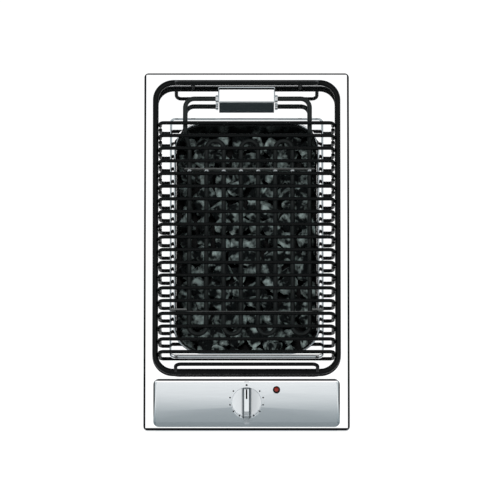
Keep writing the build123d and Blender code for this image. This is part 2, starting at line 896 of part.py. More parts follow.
def make_overheat_cutout():
    """A capsule thermostat clamped to the front of the basin."""
    front = basin_center_y - mouth_length / 2 - basin_sheet
    y = front - cutout_length / 2
    z = plate_under - cutout_height - 2 * plate_sheet
    return block(cutout_width, cutout_length, cutout_height, 0, y, z)


def make_terminal():
    y = casing_length / 2 - casing_sheet - terminal_length
    z = casing_sheet
    body = block(terminal_width, terminal_length, terminal_height, terminal_x, y, z)
    for i in (-1, 0, 1):
        x = terminal_x + i * terminal_width / 3.5
        body -= post(terminal_hole_radius, terminal_height / 2, x, y, z + terminal_height / 2)
    return body


def make_gland():
    """A bush through the rear wall, for a mains lead up to ten millimetres thick."""
    wall = casing_length / 2
    z = terminal_z
    gland = bar_y(gland_flange_radius, wall, wall + gland_reach, terminal_x, z)
    gland += bar_y(gland_neck_radius, wall - 4 * casing_sheet, wall, terminal_x, z)
    return gland - bar_y(gland_bore, wall - 4 * casing_sheet, wall + gland_reach, terminal_x, z)


def make_clamp(side_x, side_y):
    """An angle on the casing's side whose foot holds the screw under the worktop."""
    wall = casing_width / 2
    y = side_y * clamp_y
    leg_x = side_x * (wall + clamp_sheet / 2)
    clamp = block(clamp_sheet, clamp_width, clamp_leg_height, leg_x, y, clamp_foot_z)
    foot_x = side_x * (wall + clamp_foot_length / 2)
    clamp += block(clamp_foot_length, clamp_width, clamp_sheet, foot_x, y, clamp_foot_z)
    screw_x = side_x * (wall + (clamp_sheet + clamp_foot_length) / 2)
    return clamp - post(clamp_screw_radius, clamp_sheet, screw_x, y, clamp_foot_z)


def make_clamp_screws():
    screws = []
    head = clamp_screw_head_height
    low = clamp_foot_z - 2 * clamp_screw_radius
    length = worktop_z - worktop_thickness - low
    for side_x in (-1, 1):
        for side_y in (-1, 1):
            x = side_x * (casing_width + clamp_sheet + clamp_foot_length) / 2
            y = side_y * clamp_y
            screw = post(clamp_screw_radius, length, x, y, low)
            screws.append(screw + post(clamp_screw_head, head, x, y, low - head))
    return screws


save("hob_plate", make_hob_plate())
save("basin", make_basin())
save("stone_tray", make_stone_tray())
save("lava_stones", *make_stones())

save("grid_ring", make_grid_ring())
for i in range(rod_count):
    save(f"grid_rod_{i + 1:02d}", make_cross_rod(first_rod_y - i * rod_pitch))
save("grid_loop_front", make_handle_loop(ring_front, ring_front + front_loop_lean))
save("grid_loop_rear", make_handle_loop(ring_rear, ring_rear - rear_loop_lean))
save("grid_feet", *make_grid_feet())

save("element_sheath", make_element())
save("element_strip_rear", make_strip(strip_rear_y, False))
save("element_strip_front", make_strip(strip_front_y, True))
save("element_clips", *make_clips(strip_rear_y), *make_clips(strip_front_y))
save("element_pins", *make_pins())

save("hinge_box_cover", make_box_cover())
save("hinge_box_base", make_box_base())
save("hinge_box_screws", *make_box_screws())
save("hinge_bushing_left", make_bushing(-1))
save("hinge_bushing_right", make_bushing(1))
save("wire_grommet", make_grommet())
save("ceramic_connector", make_connector())

save("knob", make_knob())
save("knob_spring", make_knob_spring())
save("regulator_shaft", shaft_solid(shaft_bottom, shaft_top))
save("regulator", make_regulator())
nut_z = panel_z(knob_center_y - nut_width / 2) + running_gap
save("regulator_nut", hex_nut(nut_width, nut_height, bush_radius, 0, knob_center_y, nut_z))
save("pilot_lamp_bezel", make_lamp_bezel())
save("pilot_lamp_lens", make_lamp_lens())
save("pilot_lamp_body", make_lamp_body())

save("edge_seal", make_seal())
save("casing", make_casing())
save("casing_studs", *make_studs())
save("casing_nuts", *make_nuts())
save("insulation_pad", make_pad())
save("heat_shield", make_shield())
save("overheat_cutout", make_overheat_cutout())
save("mains_terminal", make_terminal())
save("mains_gland", make_gland())
save("clamps", *[make_clamp(x, y) for x in (-1, 1) for y in (-1, 1)])
save("clamp_screws", *make_clamp_screws())
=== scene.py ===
"""The barbecue hob on a white floor, seen from a little in front of straight above."""

import json
import math

import bmesh
import bpy
from mathutils import Matrix, Vector


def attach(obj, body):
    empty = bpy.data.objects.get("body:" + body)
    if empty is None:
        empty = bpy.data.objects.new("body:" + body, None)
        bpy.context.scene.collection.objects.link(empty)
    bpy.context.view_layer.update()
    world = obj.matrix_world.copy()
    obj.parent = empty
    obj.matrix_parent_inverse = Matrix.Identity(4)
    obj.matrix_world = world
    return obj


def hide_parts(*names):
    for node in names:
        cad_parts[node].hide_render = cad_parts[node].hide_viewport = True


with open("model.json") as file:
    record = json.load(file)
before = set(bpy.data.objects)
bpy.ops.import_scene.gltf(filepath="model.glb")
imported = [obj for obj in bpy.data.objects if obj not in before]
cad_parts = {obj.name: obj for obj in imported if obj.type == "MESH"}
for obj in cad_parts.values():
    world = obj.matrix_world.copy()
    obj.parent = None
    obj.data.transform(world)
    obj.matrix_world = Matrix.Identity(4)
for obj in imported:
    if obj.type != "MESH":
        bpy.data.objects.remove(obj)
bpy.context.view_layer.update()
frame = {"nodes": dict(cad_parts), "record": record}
cad = frame["nodes"]
scene = bpy.context.scene
scene.view_settings.view_transform = "Standard"

# Sizes that the dressing shares with the model, in metres
PLATE_TOP = 0.096
PANEL_REAR_Y = -0.1864
PANEL_LENGTH = 0.0694
PANEL_HALF_WIDTH = 0.1288
PANEL_REAR_DEPTH = 0.0034
PANEL_FRONT_DEPTH = 0.0015
PLATE_HALF_WIDTH = 0.1425
PLATE_HALF_LENGTH = 0.2600
KNOB_TOP = 0.1190

# The photograph: half a metre or so of plate, seen along a long lens
VIEW_TILT = math.radians(17.8)
LENS = 800.0
SENSOR = 36.0
FRAME_WIDTH = 0.69345
FAR_CLIP = 200.0
AIM = Vector((0.0047, 0.0007, PLATE_TOP))

# The studio's light. A place overhead is a slope, its distance from the zenith over its height.
# Each gap in the ceiling has the slope where it starts, the one where it is full, and its level
CEILING_LEVEL = 1.12
REAR_GAP = (0.332, 0.424, 0.19)
CAMERA_GAP = (0.26, 0.17, 0.03)
CAMERA_SLOPE = 0.36
WALL_SLOPES = (0.70, 1.10)
WALL_LEVEL = 0.60
LEAST_HEIGHT = 0.05
SOFTBOX_PLACE = Vector((-0.9, -0.5, 1.3))
SOFTBOX_SIZE = 0.4
SOFTBOX_POWER = 9.0

# The floor: how much of what the camera sees of it is glow, and the glow's strengths
FLOOR_REACH = 4.0
FLOOR_GLOW_SHARE = 0.95
FLOOR_GLOW = 1.08
MIRRORED_GLOW = 0.8


def add_camera():
    """A long lens that looks down from a little in front of the hob."""
    camera = bpy.data.objects.new("camera", bpy.data.cameras.new("camera"))
    camera.data.lens = LENS
    camera.data.sensor_width = SENSOR
    camera.data.clip_end = FAR_CLIP
    back = Vector((0.0, -math.sin(VIEW_TILT), math.cos(VIEW_TILT)))
    camera.location = AIM + back * FRAME_WIDTH * LENS / SENSOR
    camera.rotation_euler = (VIEW_TILT, 0.0, 0.0)
    scene.collection.objects.link(camera)
    scene.camera = camera


def color(code):
    """An sRGB hex colour as the linear colour that a shader takes."""
    channels = [int(code[i : i + 2], 16) / 255 for i in (0, 2, 4)]
    linear = [c / 12.92 if c <= 0.04045 else ((c + 0.055) / 1.055) ** 2.4 for c in channels]
    return (*linear, 1.0)


def add(tree, kind, inputs=None, **settings):
    """Adds a node with its settings, values and links, and returns it."""
    node = tree.nodes.new(kind)
    for name, value in settings.items():
        setattr(node, name, value)
    for name, value in (inputs or {}).items():
        if isinstance(value, bpy.types.NodeSocket):
            tree.links.new(value, node.inputs[name])
        else:
            node.inputs[name].default_value = value
    return node


def add_world():
    """A wide soft ceiling with pale walls, dark behind the hob and where the camera stands."""
    world = bpy.data.worlds.new("studio")
    scene.world = world
    world.use_nodes = True
    tree = world.node_tree
    tree.nodes.clear()
    direction = add(tree, "ShaderNodeTexCoord").outputs["Generated"]
    axes = add(tree, "ShaderNodeSeparateXYZ", {"Vector": direction}).outputs
    height = {0: axes["Z"], 1: LEAST_HEIGHT}
    height = add(tree, "ShaderNodeMath", height, operation="MAXIMUM").outputs[0]
    along = add(tree, "ShaderNodeMath", {0: axes["Y"], 1: height}, operation="DIVIDE").outputs[0]
    aside = add(tree, "ShaderNodeMath", {0: axes["X"], 1: height}, operation="DIVIDE").outputs[0]
    spread = add(tree, "ShaderNodeCombineXYZ", {"X": aside, "Y": along}).outputs[0]
    zenith = add(tree, "ShaderNodeVectorMath", {0: spread}, operation="LENGTH").outputs["Value"]
    shift = {0: spread, 1: (0.0, CAMERA_SLOPE, 0.0)}
    from_camera = add(tree, "ShaderNodeVectorMath", shift, operation="ADD").outputs[0]
    camera = add(tree, "ShaderNodeVectorMath", {0: from_camera}, operation="LENGTH").outputs[1]
    level = CEILING_LEVEL
    for source, (start, end, low) in ((along, REAR_GAP), (camera, CAMERA_GAP)):
        reach = {"Value": source, "From Min": start, "From Max": end}
        reach.update({"To Min": CEILING_LEVEL, "To Max": low})
        part = add(tree, "ShaderNodeMapRange", reach, interpolation_type="SMOOTHSTEP").outputs[0]
        level = add(tree, "ShaderNodeMath", {0: part, 1: level}, operation="MINIMUM").outputs[0]
    reach = {"Value": zenith, "From Min": WALL_SLOPES[0], "From Max": WALL_SLOPES[1]}
    wall = add(tree, "ShaderNodeMapRange", reach, interpolation_type="SMOOTHSTEP").outputs[0]
    level = add(tree, "ShaderNodeMix", {0: wall, 2: level, 3: WALL_LEVEL}).outputs[0]
    seen = add(tree, "ShaderNodeLightPath").outputs["Is Camera Ray"]
    strength = add(tree, "ShaderNodeMix", {0: seen, 2: level, 3: 1.0}).outputs[0]
    # The darker the place, the bluer
    cool = {0: level, 6: color("d6f3ff"), 7: color("ffffff")}
    tint = add(tree, "ShaderNodeMix", cool, data_type="RGBA").outputs[2]
    shade = add(tree, "ShaderNodeBackground", {"Color": tint, "Strength": strength})
    add(tree, "ShaderNodeOutputWorld", {"Surface": shade.outputs[0]})


def add_softbox():
    """A square lamp on the left that faces the middle of the hob."""
    lamp = bpy.data.objects.new("softbox", bpy.data.lights.new("softbox", "AREA"))
    lamp.data.size = SOFTBOX_SIZE
    lamp.data.energy = SOFTBOX_POWER
    lamp.location = SOFTBOX_PLACE
    aim = SOFTBOX_PLACE - Vector((0.0, 0.0, PLATE_TOP))
    lamp.rotation_euler = aim.to_track_quat("Z", "Y").to_euler()
    lamp.visible_glossy = False
    lamp.visible_camera = False
    scene.collection.objects.link(lamp)


def add_floor():
    """White floor that keeps a faint shadow of the hob."""
    mesh = bpy.data.meshes.new("floor")
    sides = ((-1, -1), (1, -1), (1, 1), (-1, 1))
    corners = [(x * FLOOR_REACH, y * FLOOR_REACH, 0) for x, y in sides]
    mesh.from_pydata(corners, [], [(0, 1, 2, 3)])
    floor = bpy.data.objects.new("floor", mesh)
    scene.collection.objects.link(floor)
    material = bpy.data.materials.new("white_floor")
    material.use_nodes = True
    tree = material.node_tree
    tree.nodes.clear()
    path = add(tree, "ShaderNodeLightPath").outputs
    share = {0: path["Is Camera Ray"], 1: FLOOR_GLOW_SHARE}
    share = add(tree, "ShaderNodeMath", share, operation="MULTIPLY").outputs[0]
    matte = add(tree, "ShaderNodeBsdfDiffuse", {"Color": color("f2f2f2")}).outputs[0]
    glow = {"Color": color("ffffff"), "Strength": FLOOR_GLOW}
    glow = add(tree, "ShaderNodeEmission", glow).outputs[0]
    mixed = add(tree, "ShaderNodeMixShader", {0: share, 1: matte, 2: glow}).outputs[0]
    # Metal mirrors the same floor, a little dimmer
    dimmer = {"Color": color("e4e7e9"), "Strength": MIRRORED_GLOW}
    dimmer = add(tree, "ShaderNodeEmission", dimmer).outputs[0]
    seen = {0: path["Is Glossy Ray"], 1: mixed, 2: dimmer}
    mixed = add(tree, "ShaderNodeMixShader", seen).outputs[0]
    add(tree, "ShaderNodeOutputMaterial", {"Surface": mixed})
    mesh.materials.append(material)


def surface(name):
    """A new material's tree, its main shader and the object coordinates."""
    material = bpy.data.materials.new(name)
    material.use_nodes = True
    tree = material.node_tree
    shader = tree.nodes["Principled BSDF"]
    place = add(tree, "ShaderNodeTexCoord").outputs["Object"]
    return material, tree, shader, place


# Noise stays nearly always between these two values
CLOUD = (0.3, 0.7)


def mottled(name, dark, light, grain, rough, bump, metallic=0.0, ior=1.45, stretch=(1, 1, 1)):
    """A finish whose colour, gloss and relief all drift with one noise, its grain in metres."""
    material, tree, shader, place = surface(name)
    scaled = add(tree, "ShaderNodeMapping", {"Vector": place, "Scale": stretch}).outputs[0]
    noise_inputs = {"Vector": scaled, "Scale": 1.0 / grain, "Detail": 4.0, "Roughness": 0.6}
    cloud = add(tree, "ShaderNodeTexNoise", noise_inputs).outputs["Fac"]
    mix = {0: cloud, 6: color(dark), 7: color(light)}
    tint = add(tree, "ShaderNodeMix", mix, data_type="RGBA").outputs[2]
    reach = {"Value": cloud, "From Min": CLOUD[0], "From Max": CLOUD[1]}
    reach.update({"To Min": rough[0], "To Max": rough[1]})
    gloss = add(tree, "ShaderNodeMapRange", reach).outputs[0]
    relief = {"Height": cloud, "Strength": 1.0, "Distance": bump}
    normal = add(tree, "ShaderNodeBump", relief).outputs[0]
    tree.links.new(tint, shader.inputs["Base Color"])
    tree.links.new(gloss, shader.inputs["Roughness"])
    tree.links.new(normal, shader.inputs["Normal"])
    shader.inputs["Metallic"].default_value = metallic
    if metallic < 1.0:
        shader.inputs["IOR"].default_value = ior
    return material


def polished_steel():
    """Stainless sheet with a mirror polish: sharp reflections that waver, as in rolled sheet."""
    return mottled("polished_stainless", "f4f5f6", "fdfdfd", 0.05, (0.04, 0.07), 0.00002, 1.0)


# How far the plate's finishes reach: the satin starts this far inside the panel's outline, painted
# shade covers the panel's step, out to a little past it, and painted dark reflection the plate's
# roll
SATIN_INSET = 0.0036
STEP_SHADE_WIDTH = 0.0018
STEP_SHADE_OUTSIDE = 0.0004
STEP_SHADE_FULL_LENGTH = 0.0300
STEP_SHADE_FADED_LENGTH = 0.0600
ROLL_REFLECTION_WIDTH = 0.0026
ROLL_REFLECTION_DEPTH = 0.0022
# Satin grain: long along x, and a millimetre or less across
SATIN_GRAIN = (40, 1500, 900)
# Unevenness of rolled sheet, 70 mm across
SHEET_WAVES = 14.0


def hob_plate_steel():
    """Mirror-polished sheet: satin in the dished panel, painted shade along the panel's step, and
    painted dark reflection along the roll.
    """
    material, tree, shader, place = surface("polished_plate")
    axes = add(tree, "ShaderNodeSeparateXYZ", {"Vector": place}).outputs
    aside = add(tree, "ShaderNodeMath", {0: axes["X"]}, operation="ABSOLUTE").outputs[0]
    along = add(tree, "ShaderNodeMath", {0: axes["Y"]}, operation="ABSOLUTE").outputs[0]
    # How far a point lies outside the panel, and outside the plate
    edges = {}
    for name, ends, half_width, half_length in (
        ("panel", axes["Y"], PANEL_HALF_WIDTH, PANEL_REAR_Y),
        ("plate", along, PLATE_HALF_WIDTH, PLATE_HALF_LENGTH),
    ):
        past_side = add(tree, "ShaderNodeMath", {0: aside, 1: half_width}, operation="SUBTRACT")
        past_end = add(tree, "ShaderNodeMath", {0: ends, 1: half_length}, operation="SUBTRACT")
        both = {0: past_side.outputs[0], 1: past_end.outputs[0]}
        edges[name] = add(tree, "ShaderNodeMath", both, operation="MAXIMUM").outputs[0]
    # Each region is where all its tests hold: a source, its value outside and its value inside
    regions = {
        "floor": (
            (edges["panel"], -SATIN_INSET, -SATIN_INSET - 0.0001),
            (axes["Z"], PLATE_TOP - 0.0002, PLATE_TOP - 0.0003),
        ),
        "step": (
            (edges["panel"], -STEP_SHADE_WIDTH - 0.0003, -STEP_SHADE_WIDTH),
            (edges["panel"], STEP_SHADE_OUTSIDE + 0.0002, STEP_SHADE_OUTSIDE),
            (axes["Y"], PANEL_REAR_Y - STEP_SHADE_FADED_LENGTH, PANEL_REAR_Y - STEP_SHADE_FULL_LENGTH),
            (axes["Z"], PLATE_TOP - 0.00005, PLATE_TOP - 0.0001),
        ),
        "roll": (
            (edges["plate"], -ROLL_REFLECTION_WIDTH - 0.0003, -ROLL_REFLECTION_WIDTH),
            (axes["Z"], PLATE_TOP - ROLL_REFLECTION_DEPTH - 0.0002, PLATE_TOP - ROLL_REFLECTION_DEPTH),
        ),
    }
    masks = {}
    for name, tests in regions.items():
        mask = 1.0
        for source, outside, inside in tests:
            reach = {"Value": source, "From Min": outside, "From Max": inside}
            test = add(tree, "ShaderNodeMapRange", reach).outputs[0]
            mask = add(tree, "ShaderNodeMath", {0: mask, 1: test}, operation="MULTIPLY").outputs[0]
        masks[name] = mask
    # Painted shade along the panel's step and painted dark reflection in the plate's roll, as one
    # mask
    both = {0: masks["step"], 1: masks["roll"]}
    dark = add(tree, "ShaderNodeMath", both, operation="MAXIMUM").outputs[0]
    floor = masks["floor"]
    scaled = {"Vector": place, "Scale": SATIN_GRAIN}
    scaled = add(tree, "ShaderNodeMapping", scaled).outputs[0]
    grain = add(tree, "ShaderNodeTexNoise", {"Vector": scaled, "Scale": 1.0, "Detail": 3.0})
    fine = {0: grain.outputs["Fac"], 6: color("dadee1"), 7: color("e6eaec")}
    satin = add(tree, "ShaderNodeMix", fine, data_type="RGBA").outputs[2]
    waves = {"Vector": place, "Scale": SHEET_WAVES, "Detail": 3.0}
    sheet = add(tree, "ShaderNodeTexNoise", waves)
    smooth = {0: sheet.outputs["Fac"], 6: color("f6f7f8"), 7: color("ffffff")}
    mirror = add(tree, "ShaderNodeMix", smooth, data_type="RGBA").outputs[2]
    mix = {0: floor, 6: mirror, 7: satin}
    tint = add(tree, "ShaderNodeMix", mix, data_type="RGBA").outputs[2]
    # The painted shade and painted reflection: near black over the steel's own colour
    shaded = {0: dark, 6: tint, 7: color("101316")}
    tint = add(tree, "ShaderNodeMix", shaded, data_type="RGBA").outputs[2]
    reach = {"Value": floor, "To Min": 0.045, "To Max": 0.13}
    gloss = add(tree, "ShaderNodeMapRange", reach).outputs[0]
    relief = {"Height": grain.outputs["Fac"], "Strength": floor, "Distance": 0.0000015}
    normal = add(tree, "ShaderNodeBump", relief).outputs[0]
    tree.links.new(tint, shader.inputs["Base Color"])
    tree.links.new(gloss, shader.inputs["Roughness"])
    tree.links.new(normal, shader.inputs["Normal"])
    shader.inputs["Metallic"].default_value = 1.0
    return material


def black_enamel():
    """Vitreous enamel on steel wire: nearly black, glossy, with a fine orange peel."""
    material = mottled("black_enamel", "010202", "040606", 0.003, (0.2, 0.32), 0.00002)
    shader = material.node_tree.nodes["Principled BSDF"]
    shader.inputs["Specular IOR Level"].default_value = 0.18
    return material


def heat_stained_steel():
    """Nickel alloy sheath, oxidised by heat: dark grey with a dull sheen."""
    return mottled("oxidised_sheath", "131616", "2f3332", 0.012, (0.28, 0.45), 0.00003, 0.6)


def dull_steel():
    """Zinc-plated steel: grey, with a satin sheen."""
    return mottled("zinc_plated_steel", "9c9d9b", "b9bab8", 0.006, (0.3, 0.45), 0.00002, 1.0)


# Zinc crystals to the metre
ZINC_CRYSTALS = 90.0


def galvanised_steel():
    """Hot-dip galvanised sheet: zinc crystals 11 mm across, each with its own grey and gloss."""
    material, tree, shader, place = surface("galvanised_sheet")
    cells = {"Vector": place, "Scale": ZINC_CRYSTALS}
    crystal = add(tree, "ShaderNodeTexVoronoi", cells).outputs["Color"]
    shade = add(tree, "ShaderNodeSeparateColor", {"Color": crystal}).outputs[0]
    mix = {0: shade, 6: color("a9aeb1"), 7: color("c3c8ca")}
    tint = add(tree, "ShaderNodeMix", mix, data_type="RGBA").outputs[2]
    reach = {"Value": shade, "To Min": 0.32, "To Max": 0.52}
    gloss = add(tree, "ShaderNodeMapRange", reach).outputs[0]
    tree.links.new(tint, shader.inputs["Base Color"])
    tree.links.new(gloss, shader.inputs["Roughness"])
    shader.inputs["Metallic"].default_value = 1.0
    return material


# Lava's pale patches are 13 mm across, its pores 3 mm and its grit 1 mm, to the metre. The real
# pores are finer, but wouldn't show
LAVA_PATCHES = 75.0
LAVA_PORES = 300.0
LAVA_GRIT = 900.0
LAVA_RELIEF = 0.0012


def lava():
    """Broken porous basalt: nearly black, with paler grey-green faces, and matt."""
    material, tree, shader, place = surface("lava_rock")
    patches = {"Vector": place, "Scale": LAVA_PATCHES, "Detail": 10.0}
    big = add(tree, "ShaderNodeTexNoise", patches)
    reach = {"Value": big.outputs["Fac"], "From Min": 0.47, "From Max": 0.68}
    patch = add(tree, "ShaderNodeMapRange", reach).outputs[0]
    mix = {0: patch, 6: color("070f10"), 7: color("cfe2de")}
    tint = add(tree, "ShaderNodeMix", mix, data_type="RGBA").outputs[2]
    pores = add(tree, "ShaderNodeTexVoronoi", {"Vector": place, "Scale": LAVA_PORES})
    pores = pores.outputs["Distance"]
    grit = add(tree, "ShaderNodeTexNoise", {"Vector": place, "Scale": LAVA_GRIT, "Detail": 3.0})
    rough = {0: pores, 1: grit.outputs["Fac"]}
    height = add(tree, "ShaderNodeMath", rough, operation="ADD").outputs[0]
    relief = {"Height": height, "Strength": 1.0, "Distance": LAVA_RELIEF}
    normal = add(tree, "ShaderNodeBump", relief).outputs[0]
    tree.links.new(tint, shader.inputs["Base Color"])
    tree.links.new(normal, shader.inputs["Normal"])
    shader.inputs["Roughness"].default_value = 0.85
    return material


# Half widths of the knob's ridge and of the painted shade on either side of its foot, and how far
# below the ridge's top the painted shade starts
RIDGE_HALF_WIDTH = 0.0032
SHADE_FULL_REACH = 0.0052
SHADE_FADED_REACH = 0.0074
SHADE_TOP_BAND = 0.0006


def satin_silver():
    """Silver-lacquered moulding: pale, softly shining, with painted shade along the foot of the
    ridge.
    """
    material = mottled("satin_silver", "e6e9eb", "f0f2f4", 0.002, (0.16, 0.24), 0.00001, 0.45)
    tree = material.node_tree
    shader = tree.nodes["Principled BSDF"]
    place = add(tree, "ShaderNodeTexCoord").outputs["Object"]
    axes = add(tree, "ShaderNodeSeparateXYZ", {"Vector": place}).outputs
    aside = add(tree, "ShaderNodeMath", {0: axes["X"]}, operation="ABSOLUTE").outputs[0]
    # Painted shade beside the foot of the ridge, below its top
    mask = 1.0
    for source, outside, inside in (
        (aside, RIDGE_HALF_WIDTH, RIDGE_HALF_WIDTH + 0.0002),
        (aside, SHADE_FADED_REACH, SHADE_FULL_REACH),
        (axes["Z"], KNOB_TOP - SHADE_TOP_BAND, KNOB_TOP - 2 * SHADE_TOP_BAND),
    ):
        reach = {"Value": source, "From Min": outside, "From Max": inside}
        test = add(tree, "ShaderNodeMapRange", reach).outputs[0]
        mask = add(tree, "ShaderNodeMath", {0: mask, 1: test}, operation="MULTIPLY").outputs[0]
    silver = shader.inputs["Base Color"].links[0].from_socket
    # The painted shade is a dark grey laid over the silver
    mix = {0: mask, 6: silver, 7: color("646a6e")}
    tint = add(tree, "ShaderNodeMix", mix, data_type="RGBA").outputs[2]
    tree.links.new(tint, shader.inputs["Base Color"])
    return material


def red_jewel():
    """Moulded red acrylic over an unlit lamp: deep red and glossy."""
    return mottled("red_acrylic", "6a1409", "b2301a", 0.004, (0.1, 0.2), 0.00001, 0.0, 1.49)


def printed_ink():
    """Pad-printed or filled ink: black and matt."""
    return mottled("printed_ink", "010101", "030303", 0.001, (0.7, 0.8), 0.000005, 0.0, 1.1)


def bezel_black():
    """Moulded polyamide ring of the lamp: black, with little shine."""
    return mottled("black_bezel", "020202", "060606", 0.002, (0.3, 0.4), 0.00001, 0.0, 1.25)


FINISHES = {
    "polished_steel": hob_plate_steel(),
    "bright_steel": polished_steel(),
    "black_enamel": black_enamel(),
    "sheath_steel": heat_stained_steel(),
    "plain_steel": dull_steel(),
    "galvanised_steel": galvanised_steel(),
    "lava": lava(),
    "red_lens": red_jewel(),
    "silver_knob": satin_silver(),
    "black_bezel": bezel_black(),
    "scale_ink": printed_ink(),
    # Pressed steatite, fired: off-white and matt
    "ceramic": mottled("steatite", "dcd8cc", "e8e4da", 0.002, (0.4, 0.6), 0.00003),
    # Moulded silicone rubber: brick red and matt
    "silicone": mottled("silicone_rubber", "7a2a1c", "8c3524", 0.004, (0.5, 0.7), 0.00003),
    # Cut foam rubber: black and open-pored
    "foam": mottled("foam_rubber", "161616", "242424", 0.001, (0.8, 0.95), 0.0001),
    # Moulded thermoset: black with a dull skin
    "black_plastic": mottled("moulded_thermoset", "141414", "202020", 0.002, (0.4, 0.55), 0.00003),
    # Moulded nylon: white with a dull skin
    "white_plastic": mottled("moulded_nylon", "d4d4d0", "dededa", 0.002, (0.4, 0.55), 0.00003),
    # Mineral fibre board: straw-coloured, soft and rough
    "mineral_board": mottled("mineral_fibre_board", "b8b29f", "d0cab8", 0.003, (0.9, 1.0), 0.0003),
    # Stainless strip with a skin of scale: grey and dull
    "strip_steel": mottled("scaled_sheet", "5e605f", "8b8d8b", 0.004, (0.4, 0.6), 0.00003, 0.8),
    # Stainless spring sheet, still bright
    "clip_steel": mottled("bright_clips", "c4c6c6", "f2f4f4", 0.002, (0.15, 0.3), 0.00002, 1.0),
}


def dress_cad_nodes():
    """Gives each CAD node the finish of its material slot."""
    slots = {part["node"]: part["material_slot"] for part in frame["record"]["subparts"]}
    for name, item in cad.items():
        material = FINISHES["clip_steel" if name == "element_clips" else slots[name]]
        if not item.material_slots:
            item.data.materials.append(material)
        for slot in item.material_slots:
            slot.material = material


def place_piece(name, mesh, body):
    """A finished mesh as a piece that rides on a body."""
    piece = bpy.data.objects.new(name, mesh)
    scene.collection.objects.link(piece)
    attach(piece, body)
    return piece


def grow(name, build, sizes, material):
    """The plain mesh that a tree of geometry nodes makes from its named sizes."""
    tree = bpy.data.node_groups.new(name, "GeometryNodeTree")
    for size in sizes:
        tree.interface.new_socket(size, in_out="INPUT", socket_type="NodeSocketFloat")
    tree.interface.new_socket("Mesh", in_out="OUTPUT", socket_type="NodeSocketGeometry")
    shape = build(tree, add(tree, "NodeGroupInput").outputs)
    real = add(tree, "GeometryNodeRealizeInstances", {"Geometry": shape}).outputs[0]
    dressed = add(tree, "GeometryNodeSetMaterial", {"Geometry": real, "Material": material})
    add(tree, "NodeGroupOutput", {"Mesh": dressed.outputs[0]})
    grower = bpy.data.objects.new(name, bpy.data.meshes.new(name))
    scene.collection.objects.link(grower)
    modifier = grower.modifiers.new(name, "NODES")
    modifier.node_group = tree
    for item in tree.interface.items_tree:
        if item.in_out == "INPUT":
            modifier[item.identifier] = sizes[item.name]
    graph = bpy.context.evaluated_depsgraph_get()
    mesh = bpy.data.meshes.new_from_object(grower.evaluated_get(graph), depsgraph=graph)
    bpy.data.objects.remove(grower)
    return mesh


# The tray's inside, and the broken rocks in it
TRAY_CENTER_Y = 0.0177
TRAY_HALF_WIDTH = 0.0964
TRAY_HALF_LENGTH = 0.1639
TRAY_CORNER = 0.0364
TRAY_FLOOR = 0.0350
ROCK_COLUMNS = 8
ROCK_ROWS = 14
ROCK_GAP = 0.0010
ROCK_PILE = 0.0360
ROCK_BREAKS = 11
ROCK_SEED = 40
ROCK_SIZES = {"Least Reach": 0.0130, "Most Reach": 0.0205, "Sink": 0.0080, "Jitter": 0.0048}
# How far out a break may cut, as a share of the rock's reach
BREAK_DEPTHS = (0.42, 0.80)
LEAST_FACING = 0.05
# The breaks' directions and depths come from seeds of their own
FACING_SEED = ROCK_SEED + 10
DEPTH_SEED = ROCK_SEED + 50
# Two sizes of roughness: bumps to the metre, and their height
ROCK_BUMPS = ((240.0, 0.0030), (800.0, 0.0014))


